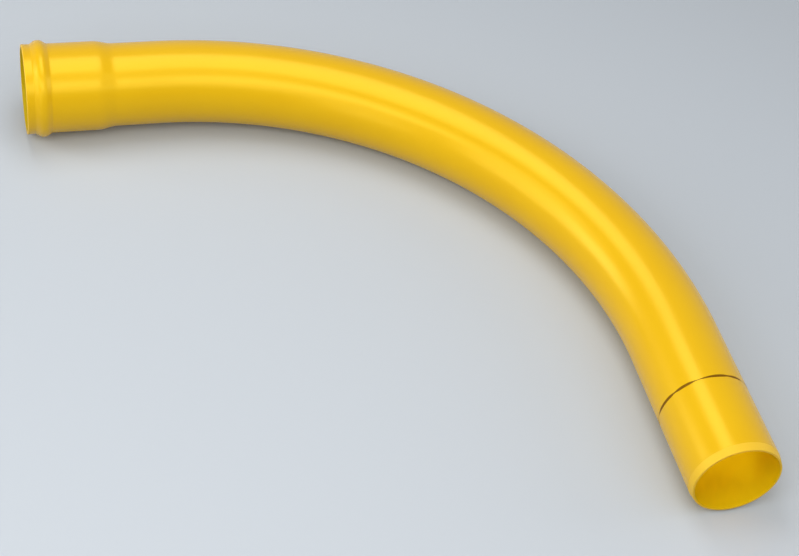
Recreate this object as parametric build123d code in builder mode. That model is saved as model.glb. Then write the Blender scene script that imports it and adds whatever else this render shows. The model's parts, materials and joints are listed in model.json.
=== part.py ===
from build123d import *
from math import radians, tan
import os

# Long-radius conduit elbow: a plastic pipe bent through a quarter turn in the XY plane.
# One end is belled into a ring-seal socket and the other is a chamfered spigot.
# The origin is the centre of the socket's mouth. The socket's axis runs along +X into the elbow,
# the bend turns towards -Y, and +Z is up from the plane of the bend. Sizes are in millimetres.

# Pipe and bend
pipe_diameter = 110.0
pipe_wall = 4.2
bend_radius = 550.0
bend_angle = 90.0
socket_straight = 60.0
spigot_straight = 215.0

# Spigot tip
tip_chamfer_length = 9.9
tip_chamfer_depth = 1.9

# Socket, from its mouth inwards
socket_clearance = 0.3
socket_wall = 3.6
lip_length = 11.0
lip_flare = 0.5
lip_edge_chamfer = 1.0
bead_height = 4.9
bead_crest_width = 7.0
bead_slope = 34.0
bead_root_radius = 4.0
bead_crest_radius = 10.0
land_length = 65.0
shoulder_length = 17.0
shoulder_radius = 45.0

# Sealing ring in the groove under the bead, with its lip folded back as it lies on a pipe
ring_clearance = 0.1
lip_gap = 0.1
ring_lip_thickness = 1.1
ring_notch_height = 0.9
ring_toe_height = 1.3

# Radii and places that follow from the sizes above
pipe_radius = pipe_diameter / 2
pipe_bore_radius = pipe_radius - pipe_wall
socket_radius = pipe_radius + socket_clearance
socket_outer_radius = socket_radius + socket_wall
lip_outer_radius = socket_outer_radius + lip_flare
bead_flank = bead_height / tan(radians(bead_slope))
bead_end = lip_length + bead_crest_width + 2 * bead_flank
shoulder_start = bead_end + land_length
shoulder_end = shoulder_start + shoulder_length
bend_start = shoulder_end + socket_straight


def bead_corners(depth):
    """The corners of the bead's outline, moved in from the outside face by the same depth all along."""
    shift = depth * tan(radians(bead_slope) / 2)
    base_radius = socket_outer_radius - depth
    crest_radius = base_radius + bead_height
    return [
        (lip_length + shift, base_radius),
        (lip_length + bead_flank + shift, crest_radius),
        (bead_end - bead_flank - shift, crest_radius),
        (bead_end - shift, base_radius),
    ]


# The centre line's bend gives the place and the direction of the spigot
with BuildLine() as centre_line:
    bend = JernArc((bend_start, 0), tangent=(1, 0), radius=bend_radius, arc_size=-bend_angle)
bend_axis = Axis((bend_start, -bend_radius, 0), (0, 0, -1))
spigot_plane = Plane(origin=bend @ 1, z_dir=bend % 1)

with BuildPart() as elbow_pipe:
    # Socket wall: lip, bead, land and shoulder, drawn as one section and turned about the socket's axis
    with BuildSketch() as socket_section:
        with BuildLine():
            outside = FilletPolyline(
                (0, socket_radius),
                (0, lip_outer_radius - lip_edge_chamfer),
                (lip_edge_chamfer, lip_outer_radius),
                *bead_corners(0),
                (shoulder_start, socket_outer_radius),
                (shoulder_end, pipe_radius),
                (bend_start, pipe_radius),
                radius=[
                    0,
                    0,
                    bead_root_radius,
                    bead_crest_radius,
                    bead_crest_radius,
                    bead_root_radius,
                    shoulder_radius,
                    shoulder_radius,
                ],
            )
            inside = Polyline(
                (0, socket_radius),
                *bead_corners(socket_wall),
                (shoulder_start, socket_radius),
                (shoulder_end, pipe_bore_radius),
                (bend_start, pipe_bore_radius),
            )
            Line(outside @ 1, inside @ 1)
        make_face()
    revolve(axis=Axis.X)

    # Bend: the pipe's ring section carried round the bend's centre
    with BuildSketch(Plane.YZ.offset(bend_start)):
        Circle(pipe_radius)
        Circle(pipe_bore_radius, mode=Mode.SUBTRACT)
    revolve(axis=bend_axis, revolution_arc=bend_angle)

    # Spigot: the straight end, with a long outer chamfer that leads it into the next socket
    with BuildSketch(spigot_plane):
        Circle(pipe_radius)
        Circle(pipe_bore_radius, mode=Mode.SUBTRACT)
    extrude(amount=spigot_straight)
    tip_face = elbow_pipe.faces().sort_by(Axis(bend @ 1, bend % 1))[-1]
    tip_edge = tip_face.edges().sort_by(SortBy.LENGTH)[-1]
    chamfer(tip_edge, length=tip_chamfer_depth, length2=tip_chamfer_length, reference=tip_face)

# Sealing ring: its heel fills the groove, its front face leads the pipe in, and its lip points inwards
ring_front, heel_front, heel_back, ring_back = bead_corners(socket_wall + ring_clearance)
ring_lip_radius = pipe_radius + lip_gap
ring_lip_top = ring_lip_radius + ring_lip_thickness
ring_toe_radius = socket_radius + ring_toe_height
notch_top = ring_lip_top + ring_notch_height


def flank_shift(radius):
    """How far the ring's flanks have moved in along the axis at a radius, from their foot in the groove."""
    return (radius - ring_front[1]) / tan(radians(bead_slope))


ring_lip_end = ring_back[0] - flank_shift(notch_top)

with BuildPart() as sealing_ring:
    with BuildSketch() as ring_section:
        with BuildLine():
            Polyline(
                (ring_front[0] + flank_shift(ring_toe_radius), ring_toe_radius),
                heel_front,
                heel_back,
                (ring_lip_end, notch_top),
                (heel_back[0], ring_lip_top),
                (ring_lip_end, ring_lip_top),
                (ring_lip_end, ring_lip_radius),
                (heel_front[0], ring_lip_radius),
                close=True,
            )
        make_face()
    revolve(axis=Axis.X)

os.makedirs("parts", exist_ok=True)
elbow_pipe.part.label = "elbow_pipe"
export_step(elbow_pipe.part, "parts/elbow_pipe.step")
sealing_ring.part.label = "sealing_ring"
export_step(sealing_ring.part, "parts/sealing_ring.step")
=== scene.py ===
import json

import bpy
import numpy as np
from mathutils import Matrix, Vector


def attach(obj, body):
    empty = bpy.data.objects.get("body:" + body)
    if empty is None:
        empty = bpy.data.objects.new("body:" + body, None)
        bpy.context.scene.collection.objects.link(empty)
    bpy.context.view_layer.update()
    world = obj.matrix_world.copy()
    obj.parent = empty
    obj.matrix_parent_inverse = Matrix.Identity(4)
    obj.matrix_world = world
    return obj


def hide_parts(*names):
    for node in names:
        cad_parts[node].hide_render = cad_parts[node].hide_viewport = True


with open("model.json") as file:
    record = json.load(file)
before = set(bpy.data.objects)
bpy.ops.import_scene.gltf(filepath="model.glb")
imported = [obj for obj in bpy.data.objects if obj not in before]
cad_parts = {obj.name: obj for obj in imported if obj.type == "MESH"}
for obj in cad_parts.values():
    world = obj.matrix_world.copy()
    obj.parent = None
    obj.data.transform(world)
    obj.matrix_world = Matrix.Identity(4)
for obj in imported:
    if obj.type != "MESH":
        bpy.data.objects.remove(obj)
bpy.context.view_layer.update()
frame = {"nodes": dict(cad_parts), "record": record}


# Pipe wall. The elbow is one length of extruded PVC-U pipe, heated and drawn round a former through a
# quarter turn. One end is belled over a mandrel into a ring-seal socket, and the other end is cut square
# and turned to a chamfer on a lathe. All lengths in this file are in metres.

mounts = {mount["name"]: mount for mount in frame["record"]["mounts"]}
MM = 0.001

pipe_radius = mounts["spigot"]["dims"]["r_mm"] * MM
bore_radius = mounts["duct_end"]["dims"]["r_mm"] * MM
spigot_length = mounts["duct_end"]["dims"]["length_mm"] * MM
spigot_axis_x, tip_y, _ = mounts["duct_end"]["pos_m"]
chamfer_length = mounts["spigot"]["pos_m"][1] - tip_y
chamfer_depth = 1.9 * MM
socket_radius = mounts["socket"]["dims"]["r_mm"] * MM
shoulder_start = mounts["socket"]["dims"]["length_mm"] * MM
shoulder_length = 17 * MM
socket_wall = 3.6 * MM
lip_length = 11 * MM
lip_flare = 0.5 * MM
lip_chamfer = 1 * MM
bead_height = 4.9 * MM
bead_crest = 7 * MM
bead_slope = np.radians(34)

bend_radius = -tip_y - spigot_length
bend_start = spigot_axis_x - bend_radius
tip_run = bend_start + bend_radius * np.pi / 2 + spigot_length
socket_outer_radius = socket_radius + socket_wall
lip_outer_radius = socket_outer_radius + lip_flare
shoulder_end = shoulder_start + shoulder_length


def bead_corners(depth):
    """The four corners of the bead's outline, moved in from the outer face by depth along the normals."""
    flank = bead_height / np.tan(bead_slope)
    shift = depth * np.tan(bead_slope / 2)
    base = socket_outer_radius - depth
    crest_from = lip_length + flank
    crest_to = crest_from + bead_crest
    return [
        (lip_length + shift, base),
        (crest_from + shift, base + bead_height),
        (crest_to - shift, base + bead_height),
        (crest_to + flank - shift, base),
    ]


def rounded_loop(corners, radii, arc_points, longest):
    """A closed outline in (run, radius), walked with its material on the right.

    Each corner is an arc that touches both of its sides: it starts radius * tan(turn / 2) before the
    corner, and its point at heading h is centre -/+ radius * left(h), where left(h) = (-sin h, cos h).
    The straight sides are then divided into equal steps no longer than longest.
    Returns the points and the directions that the surface faces there, which are left(h)."""
    corners = np.array(corners)
    radii = np.array(radii)[:, None]
    leaving = np.roll(corners, -1, axis=0) - corners
    heading_out = np.arctan2(leaving[:, 1], leaving[:, 0])
    heading_in = np.roll(heading_out, 1)
    turn = (heading_out - heading_in + np.pi) % (2 * np.pi) - np.pi
    side = np.sign(turn)[:, None]
    heading = heading_in[:, None] + turn[:, None] * np.linspace(0, 1, arc_points)
    left = np.stack([-np.sin(heading), np.cos(heading)], axis=-1)
    ahead_in = np.stack([np.cos(heading_in), np.sin(heading_in)], axis=-1)
    arc_start = corners - ahead_in * radii * np.tan(abs(turn) / 2)[:, None]
    centre = arc_start + side * radii * left[:, 0]
    points = (centre[:, None] - (side * radii)[:, None] * left).reshape(-1, 2)
    facing = left.reshape(-1, 2)
    step = np.roll(points, -1, axis=0) - points
    counts = np.maximum(1, np.ceil(np.linalg.norm(step, axis=1) / longest)).astype(int)
    origin = np.repeat(np.arange(len(points)), counts)
    within = np.arange(counts.sum()) - np.repeat(np.cumsum(counts) - counts, counts)
    share = (within / np.repeat(counts, counts))[:, None]
    facing_step = np.roll(facing, -1, axis=0) - facing
    return points[origin] + share * step[origin], facing[origin] + share * facing_step[origin]


def along_pipe(run, along, out, angle):
    """Turns pipe coordinates into places: a vector with the part along on the centre line's direction and
    the part out on the radius at that angle, 0 on the outside of the bend and a quarter turn on top.

    The centre line runs along X to bend_start, round a quarter circle towards -Y, then along -Y.
    Its direction at a run is (cos t, -sin t, 0), with t = (run - bend_start) / bend_radius in the bend."""
    t = np.clip((run - bend_start) / bend_radius, 0, np.pi / 2)
    radial = out * np.cos(angle)
    return np.stack([
        along * np.cos(t) + radial * np.sin(t),
        -along * np.sin(t) + radial * np.cos(t),
        out * np.sin(angle),
    ], axis=-1)


def centre_line(run):
    """The point of the centre line at a run: straight, quarter circle, straight."""
    t = np.clip((run - bend_start) / bend_radius, 0, np.pi / 2)
    past_bend = np.maximum(run - bend_start - bend_radius * np.pi / 2, 0)
    return np.stack([
        np.minimum(run, bend_start) + bend_radius * np.sin(t),
        -bend_radius * (1 - np.cos(t)) - past_bend,
        np.zeros_like(run),
    ], axis=-1)


def carried_round(name, run, radius, facing, angle):
    """A closed outline carried round the pipe. The point at (run, radius, angle) stands at
    centre_line(run) + radius * (cos angle * outwards + sin angle * up), and the grid joins up both ways.

    The mesh keeps the straightened pipe's coordinates (run, radius cos, radius sin) as pipe_place."""
    rows, turns = run.shape
    points = centre_line(run) + along_pipe(run, np.zeros_like(run), radius, angle)
    normals = along_pipe(run, facing[:, :1] + np.zeros_like(run), facing[:, 1:] + np.zeros_like(run), angle)
    i, j = np.meshgrid(np.arange(rows), np.arange(turns), indexing="ij")
    i_next, j_next = (i + 1) % rows, (j + 1) % turns
    quads = np.stack([
        i * turns + j,
        i * turns + j_next,
        i_next * turns + j_next,
        i_next * turns + j,
    ], axis=-1)
    mesh = bpy.data.meshes.new(name)
    mesh.from_pydata(points.reshape(-1, 3), [], quads.reshape(-1, 4))
    mesh.shade_smooth()
    mesh.normals_split_custom_set_from_vertices(normals.reshape(-1, 3))
    place = mesh.attributes.new("pipe_place", "FLOAT_VECTOR", "POINT")
    straight = np.stack([run, radius * np.cos(angle), radius * np.sin(angle)], axis=-1)
    place.data.foreach_set("vector", straight.astype(np.float32).ravel())
    piece = bpy.data.objects.new(name, mesh)
    bpy.context.scene.collection.objects.link(piece)
    return piece


cut_edge = 0.35 * MM
bead_root_round = 4 * MM
bead_crest_round = 10 * MM
shoulder_round = 45 * MM
inner_shoulder_round = 12 * MM
groove_mouth_round = 1 * MM
groove_bottom_round = 0.4 * MM
bead_rounds = (bead_root_round, bead_crest_round, bead_crest_round, bead_root_round)
groove_rounds = (groove_mouth_round, groove_bottom_round, groove_bottom_round, groove_mouth_round)
wall_corners = [
    ((0, lip_outer_radius - lip_chamfer), cut_edge),
    ((lip_chamfer, lip_outer_radius), cut_edge),
    *zip(bead_corners(0), bead_rounds),
    ((shoulder_start, socket_outer_radius), shoulder_round),
    ((shoulder_end, pipe_radius), shoulder_round),
    ((tip_run - chamfer_length, pipe_radius), cut_edge),
    ((tip_run, pipe_radius - chamfer_depth), cut_edge),
    ((tip_run, bore_radius), cut_edge),
    ((shoulder_end, bore_radius), inner_shoulder_round),
    ((shoulder_start, socket_radius), inner_shoulder_round),
    *zip(bead_corners(socket_wall)[::-1], groove_rounds),
    ((0, socket_radius), cut_edge),
]
outline, outline_facing = rounded_loop(
    [corner for corner, _ in wall_corners],
    [radius for _, radius in wall_corners],
    arc_points=7,
    longest=10 * MM,
)
wall_turns = 160
angles = np.linspace(0, 2 * np.pi, wall_turns, endpoint=False)
pipe_wall = carried_round(
    "pipe_wall",
    np.repeat(outline[:, :1], wall_turns, axis=1),
    np.repeat(outline[:, 1:], wall_turns, axis=1),
    outline_facing,
    np.broadcast_to(angles, (len(outline), wall_turns)),
)

# Faces that a tool has cut: the chamfer and the end of the spigot, and the socket's mouth
outside = outline[:, 1] > bore_radius + cut_edge
chamfered = outside & (outline[:, 0] > tip_run - chamfer_length)
mouth = (outline[:, 0] < lip_chamfer) & (outline[:, 1] > socket_radius + cut_edge)
turned = pipe_wall.data.attributes.new("turned", "FLOAT", "POINT")
turned.data.foreach_set("value", np.repeat(chamfered | mouth, wall_turns).astype(np.float32))

# The face of the bore, which points at the pipe's axis to within 60 degrees
faces_axis = outline_facing[:, 1] < -np.cos(np.radians(60))
bore = pipe_wall.data.attributes.new("bore", "FLOAT", "POINT")
bore.data.foreach_set("value", np.repeat(faces_axis, wall_turns).astype(np.float32))


def linear(hex_colour):
    """An sRGB hex colour as linear RGBA: c / 12.92 up to 0.04045, and ((c + 0.055) / 1.055) ** 2.4 above."""
    c = np.array([int(hex_colour[i:i + 2], 16) / 255 for i in (1, 3, 5)])
    return (*np.where(c <= 0.04045, c / 12.92, ((c + 0.055) / 1.055) ** 2.4), 1.0)


def add(tree, kind, inputs=(), **settings):
    """A new node of a kind, with its settings. inputs pairs a socket's name or number with a value, or
    with another node's output, which is linked."""
    node = tree.nodes.new("ShaderNode" + kind)
    for key, value in settings.items():
        setattr(node, key, value)
    for socket, value in inputs:
        if isinstance(value, bpy.types.NodeSocket):
            tree.links.new(value, node.inputs[socket])
        else:
            node.inputs[socket].default_value = value
    return node


def new_material(name):
    """An empty node material and its tree."""
    material = bpy.data.materials.new(name)
    material.use_nodes = True
    material.node_tree.nodes.clear()
    return material, material.node_tree


# PVC-U, extruded: a dense pigmented plastic with a calibrated, glossy face. The eye sees a deep warm yellow,
# smooth bands of reflected light and faint die lines. The bore, which no calibrator has touched, is duller,
# and its paler, greener yellow is painted light that stands in for the light filling the bore. Turned faces
# are the dullest and a little paler, with fine lathe rings.
pvc, tree = new_material("pvc_u_extruded_yellow")
place = add(tree, "Attribute", attribute_name="pipe_place")
cut = add(tree, "Attribute", attribute_name="turned")
inside = add(tree, "Attribute", attribute_name="bore")
die_line = 1.6 * MM      # real die lines are about a fifth of this width, too fine to show in the render
die_run = 400 * MM
line_place = add(tree, "Mapping", [
    ("Vector", place.outputs["Vector"]), ("Scale", (die_line / die_run, 1, 1))])
die_lines = add(tree, "TexNoise", [
    ("Vector", line_place.outputs["Vector"]), ("Scale", 1 / die_line), ("Detail", 2.0)])
cooling_wave = 90 * MM
waves = add(tree, "TexNoise", [
    ("Vector", place.outputs["Vector"]), ("Scale", 1 / cooling_wave), ("Detail", 1.0)])
lathe_pitch = 0.8 * MM   # about four times the real feed, so that it shows
lathe = add(tree, "TexWave", [("Vector", place.outputs["Vector"]), ("Scale", np.pi / 10 / lathe_pitch)],
            bands_direction="X")
shade = add(tree, "MixRGB", [
    ("Fac", waves.outputs["Fac"]), ("Color1", linear("#EBB507")), ("Color2", linear("#EFBB0A"))])
# Painted light: the bore gets a paler, greener yellow, which brightens the inside of the pipe in place of
# the light that fills it.
bore_painted_light = add(tree, "MixRGB", [
    ("Fac", inside.outputs["Fac"]), ("Color1", shade.outputs["Color"]), ("Color2", linear("#E5C30C"))])
colour = add(tree, "MixRGB", [
    ("Fac", cut.outputs["Fac"]), ("Color1", bore_painted_light.outputs["Color"]), ("Color2", linear("#F3C130"))])
gloss = add(tree, "MapRange", [("Value", die_lines.outputs["Fac"]), ("To Min", 0.245), ("To Max", 0.265)])
bore_gloss = add(tree, "MapRange", [
    ("Value", inside.outputs["Fac"]), ("To Min", gloss.outputs["Result"]), ("To Max", 0.38)])
roughness = add(tree, "MapRange", [
    ("Value", cut.outputs["Fac"]), ("To Min", bore_gloss.outputs["Result"]), ("To Max", 0.5)])
wave_bump = add(tree, "Bump", [
    ("Strength", 0.25), ("Distance", 0.3 * MM), ("Height", waves.outputs["Fac"])])
line_bump = add(tree, "Bump", [
    ("Strength", 0.1), ("Distance", 0.006 * MM), ("Height", die_lines.outputs["Fac"]),
    ("Normal", wave_bump.outputs["Normal"])])
lathe_height = add(tree, "Math", [(0, lathe.outputs["Fac"]), (1, cut.outputs["Fac"])], operation="MULTIPLY")
lathe_bump = add(tree, "Bump", [
    ("Strength", 0.3), ("Distance", 0.05 * MM), ("Height", lathe_height.outputs["Value"]),
    ("Normal", line_bump.outputs["Normal"])])
plastic = add(tree, "BsdfPrincipled", [
    ("Base Color", colour.outputs["Color"]),
    ("Roughness", roughness.outputs["Result"]),
    ("IOR", 1.54),
    ("Specular IOR Level", 1.0),
    ("Specular Tint", linear("#FFEA69")),
    ("Normal", lathe_bump.outputs["Normal"]),
])
add(tree, "OutputMaterial", [("Surface", plastic.outputs["BSDF"])])
pipe_wall.data.materials.append(pvc)
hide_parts("elbow_pipe")
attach(pipe_wall, "root")


# Insertion mark. A line of black ink printed round the spigot shows how far to push it into the next
# socket. The print wheel has run dry in places, so the line thins and nearly breaks.

mark_from_tip = 110 * MM
mark_width = 3.8 * MM
ink_film = 0.03 * MM
mark_turns = 360
mark_angles = np.linspace(0, 2 * np.pi, mark_turns, endpoint=False)
dry_spots = np.array([  # angle and half width in degrees, and how much of the line is missing there
    (45, 10, 0.75),
    (72, 5, 0.4),
    (99, 6, 0.25),
    (111, 9, 0.8),
    (144, 5, 0.5),
    (188, 10, 0.8),
    (228, 10, 0.7),
    (291, 5, 0.5),
    (352, 9, 0.6),
])
off = np.degrees(mark_angles)[:, None] - dry_spots[:, 0]
off = (off + 180) % 360 - 180
coverage = np.prod(1 - dry_spots[:, 2] * np.exp(-(off / dry_spots[:, 1]) ** 2), axis=1)
half = mark_width / 2
mark_outline, mark_facing = rounded_loop(
    [(-half, pipe_radius + ink_film), (half, pipe_radius + ink_film),
     (half, pipe_radius - ink_film), (-half, pipe_radius - ink_film)],
    [ink_film / 2] * 4,
    arc_points=3,
    longest=half,
)
insertion_mark = carried_round(
    "insertion_mark",
    tip_run - mark_from_tip + mark_outline[:, :1] * coverage,
    np.repeat(mark_outline[:, 1:], mark_turns, axis=1),
    mark_facing,
    np.broadcast_to(mark_angles, (len(mark_outline), mark_turns)),
)
# Solvent ink: a thin black film that dries nearly matt. Some of the pipe's yellow shows through it, so the
# eye sees a dark brown.
ink, tree = new_material("solvent_ink_black")
place = add(tree, "Attribute", attribute_name="pipe_place")
speckle_size = 1.5 * MM
speckle = add(tree, "TexNoise", [("Vector", place.outputs["Vector"]), ("Scale", 1 / speckle_size)])
ink_colour = add(tree, "MixRGB", [
    ("Fac", speckle.outputs["Fac"]), ("Color1", linear("#664400")), ("Color2", linear("#946400"))])
film = add(tree, "BsdfPrincipled", [
    ("Base Color", ink_colour.outputs["Color"]), ("Roughness", 0.5), ("IOR", 1.45),
    ("Specular IOR Level", 0.12)])
add(tree, "OutputMaterial", [("Surface", film.outputs["BSDF"])])
insertion_mark.data.materials.append(ink)
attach(insertion_mark, "root")


# Sealing ring. A moulded EPDM ring sits in the groove under the bead, held there by its own spring.
# Its front face leads the pipe in, and its lip seals on the pipe.

sealing_ring = frame["nodes"]["sealing_ring"]
# EPDM rubber, moulded: a soft black with a fine matt grain from the mould and a faint grey bloom.
rubber, tree = new_material("epdm_rubber_moulded")
place = add(tree, "TexCoord")
grain_size = 0.6 * MM
grain = add(tree, "TexNoise", [
    ("Vector", place.outputs["Object"]), ("Scale", 1 / grain_size), ("Detail", 3.0)])
bloom_size = 18 * MM
bloom = add(tree, "TexNoise", [("Vector", place.outputs["Object"]), ("Scale", 1 / bloom_size)])
rubber_colour = add(tree, "MixRGB", [
    ("Fac", bloom.outputs["Fac"]), ("Color1", linear("#1B1B1C")), ("Color2", linear("#2A2A2A"))])
rubber_bump = add(tree, "Bump", [
    ("Strength", 0.35), ("Distance", 0.1 * MM), ("Height", grain.outputs["Fac"])])
rubber_face = add(tree, "BsdfPrincipled", [
    ("Base Color", rubber_colour.outputs["Color"]),
    ("Roughness", 0.58),
    ("IOR", 1.5),
    ("Normal", rubber_bump.outputs["Normal"]),
])
add(tree, "OutputMaterial", [("Surface", rubber_face.outputs["BSDF"])])
sealing_ring.data.materials.clear()
sealing_ring.data.materials.append(rubber)


# Floor. The elbow lies on its side and touches a plain pale floor at two places: the bead's lowest point,
# and the point of the bend opposite it, with the centre of mass over the line between them.

weight_length = np.array([bend_start, bend_radius * np.pi / 2, spigot_length])
weight_place = np.array([
    (bend_start / 2, 0),
    (bend_start + bend_radius * 2 / np.pi, -bend_radius * (1 - 2 / np.pi)),
    (spigot_axis_x, -bend_radius - spigot_length / 2),
])
centre_of_mass = weight_length @ weight_place / weight_length.sum()
bead_foot = np.array([np.mean([x for x, _ in bead_corners(0)]), 0, -socket_outer_radius - bead_height])
over_foot = centre_of_mass - bead_foot[:2]
over_foot /= np.linalg.norm(over_foot)
to_centre = np.array([bend_start, -bend_radius]) - bead_foot[:2]
nearest = to_centre @ over_foot
reach = nearest + np.sqrt(bend_radius ** 2 - to_centre @ to_centre + nearest ** 2)
bend_foot = np.array([*(bead_foot[:2] + reach * over_foot), -pipe_radius])
bend_outward = (bend_foot[:2] - np.array([bend_start, -bend_radius])) / bend_radius
tangent = np.array([bend_outward[1], -bend_outward[0], 0])
floor_up = np.cross(bend_foot - bead_foot, tangent)
floor_up *= np.sign(floor_up[2]) / np.linalg.norm(floor_up)
floor_half = 20.0
across = np.cross(floor_up, (1, 0, 0))
across /= np.linalg.norm(across)
along = np.cross(across, floor_up)
floor_signs = ((-1, -1), (1, -1), (1, 1), (-1, 1))
floor_points = [bend_foot + floor_half * (a * along + b * across) for a, b in floor_signs]
floor_mesh = bpy.data.meshes.new("floor")
floor_mesh.from_pydata(floor_points, [], [(0, 1, 2, 3)])
floor = bpy.data.objects.new("floor", floor_mesh)
bpy.context.scene.collection.objects.link(floor)


def looked_at(tree):
    """A socket that is 1 where a surface is looked at, straight, in a gloss or through glass, and 0 where
    it only throws light on something else: the largest of the three kinds of ray."""
    path = add(tree, "LightPath")
    camera_or_glossy = add(tree, "Math", [
        (0, path.outputs["Is Camera Ray"]), (1, path.outputs["Is Glossy Ray"])], operation="MAXIMUM")
    any_of_three = add(tree, "Math", [
        (0, camera_or_glossy.outputs["Value"]), (1, path.outputs["Is Transmission Ray"])],
        operation="MAXIMUM")
    return any_of_three.outputs["Value"]


# Matt studio board: an even pale grey with no gloss. It throws less light on the elbow than it shows.
board, tree = new_material("matt_studio_board")
shown = looked_at(tree)
board_colour = add(tree, "MixRGB", [
    ("Fac", shown), ("Color1", linear("#A2A8AE")), ("Color2", linear("#C6CCD2"))])
board_face = add(tree, "BsdfPrincipled", [
    ("Base Color", board_colour.outputs["Color"]), ("Roughness", 0.9), ("Specular IOR Level", 0.1)])
# Far from the elbow, where the lamps reach less, the board fades to the room's own pale shade.
room_colour = linear("#F1F4F8")
seen_light = 0.6
fade_start = 0.95
fade_end = 1.9
place = add(tree, "TexCoord")
away = add(tree, "VectorMath", [(0, place.outputs["Object"]), (1, tuple(bend_foot))], operation="DISTANCE")
haze = add(tree, "MapRange", [
    ("Value", away.outputs["Value"]), ("From Min", fade_start), ("From Max", fade_end)],
    interpolation_type="SMOOTHSTEP")
haze_shown = add(tree, "Math", [(0, haze.outputs["Result"]), (1, shown)], operation="MULTIPLY")
far_board = add(tree, "Emission", [("Color", room_colour), ("Strength", seen_light)])
board_or_far = add(tree, "MixShader", [
    (0, haze_shown.outputs["Value"]), (1, board_face.outputs["BSDF"]), (2, far_board.outputs["Emission"])])
add(tree, "OutputMaterial", [("Surface", board_or_far.outputs["Shader"])])
floor_mesh.materials.append(board)


# Studio light. The softbox overhead and the strip at the front of the ceiling lie as two bands of light
# along the pipe. Panels on the ceiling and on three walls of the room and a window on the left make the
# softer shades between and below them, and a dim room fills the rest.


def softbox(name, middle, size, turn, radiance):
    """A rectangular lamp that looks down, or another way after its turn about X, Y and Z in degrees.
    Its power is radiance * pi * area, so that a lamp of any size looks as bright as its radiance."""
    lamp = bpy.data.lights.new(name, "AREA")
    lamp.shape = "RECTANGLE"
    lamp.size, lamp.size_y = size
    lamp.energy = radiance * np.pi * lamp.size * lamp.size_y
    holder = bpy.data.objects.new(name, lamp)
    holder.location = middle
    holder.rotation_euler = np.radians(turn)
    holder.visible_camera = False
    bpy.context.scene.collection.objects.link(holder)
    return holder


looking_down = (0, 0, 0)
looking_down_askew = (0, 0, -15)
looking_right = (0, -90, 0)
looking_left = (0, 90, 0)
looking_back = (90, 0, 0)
ceiling_height = 1.65
wall_distance = 2.40
softbox("softbox_overhead", (0.17, 0.22, ceiling_height), (0.93, 1.33), looking_down, 2.7)
softbox("ceiling_front_left", (-0.50, -1.58, ceiling_height), (2.20, 1.05), looking_down_askew, 2.85)
softbox("ceiling_middle", (0.26, -0.85, ceiling_height), (0.75, 0.75), looking_down, 0.6)
softbox("ceiling_left", (-1.73, -0.36, ceiling_height), (1.34, 1.60), looking_down, 1.5)
softbox("ceiling_front_right", (1.51, -1.48, ceiling_height), (1.78, 1.84), looking_down, 0.82)
softbox("wall_left", (-wall_distance, -0.60, 0.92), (1.46, 1.49), looking_right, 1.9)
softbox("window_left", (-wall_distance, 0.70, 0.97), (1.37, 1.10), looking_right, 3.65)
softbox("wall_right", (wall_distance, -0.65, 0.95), (1.00, 1.00), looking_left, 1.85)
softbox("wall_front", (-0.11, -wall_distance, 1.46), (4.58, 0.38), looking_back, 1.95)
softbox("wall_corner", (-1.75, -wall_distance, 0.55), (1.30, 1.10), looking_back, 1.4)

# A small lamp just inside the spigot's mouth looks into the bore, so that it lights hardly anything else.
# Its narrow spread carries the light deep into the pipe.
mouth_lamp_inset = 4 * MM
mouth_lamp_size = 60 * MM
mouth_lamp_radiance = 6.7
mouth_lamp_spread = np.radians(70)
mouth_lamp = softbox(
    "lamp_in_spigot_mouth",
    (spigot_axis_x, tip_y + mouth_lamp_inset, 0),
    (mouth_lamp_size, mouth_lamp_size),
    looking_back,
    mouth_lamp_radiance,
)
mouth_lamp.data.spread = mouth_lamp_spread
mouth_lamp.visible_glossy = False

room = bpy.data.worlds.new("pale_room")
bpy.context.scene.world = room
room.use_nodes = True
tree = room.node_tree
tree.nodes.clear()
fill_light = 0.26
strength = add(tree, "MapRange", [
    ("Value", looked_at(tree)), ("To Min", fill_light), ("To Max", seen_light)])
sky = add(tree, "Background", [("Color", room_colour), ("Strength", strength.outputs["Result"])])
add(tree, "OutputWorld", [("Surface", sky.outputs["Background"])])


# Camera. It looks down on the elbow from the front, over the inside of the bend. Its place, its turn and
# its lens are fitted to the photograph.

lens_mm = 79.65
camera_place = (-0.1081, -1.8608, 1.5045)
camera_right = Vector((0.966503, -0.229605, 0.114689))
camera_up = Vector((0.082564, 0.701254, 0.708114))
camera_data = bpy.data.cameras.new("camera")
camera_data.lens = lens_mm
camera = bpy.data.objects.new("camera", camera_data)
axes = Matrix((camera_right, camera_up, camera_right.cross(camera_up))).transposed()
camera.matrix_world = Matrix.Translation(camera_place) @ axes.to_4x4()
bpy.context.scene.collection.objects.link(camera)
bpy.context.scene.camera = camera

bpy.context.scene.view_settings.view_transform = "Standard"
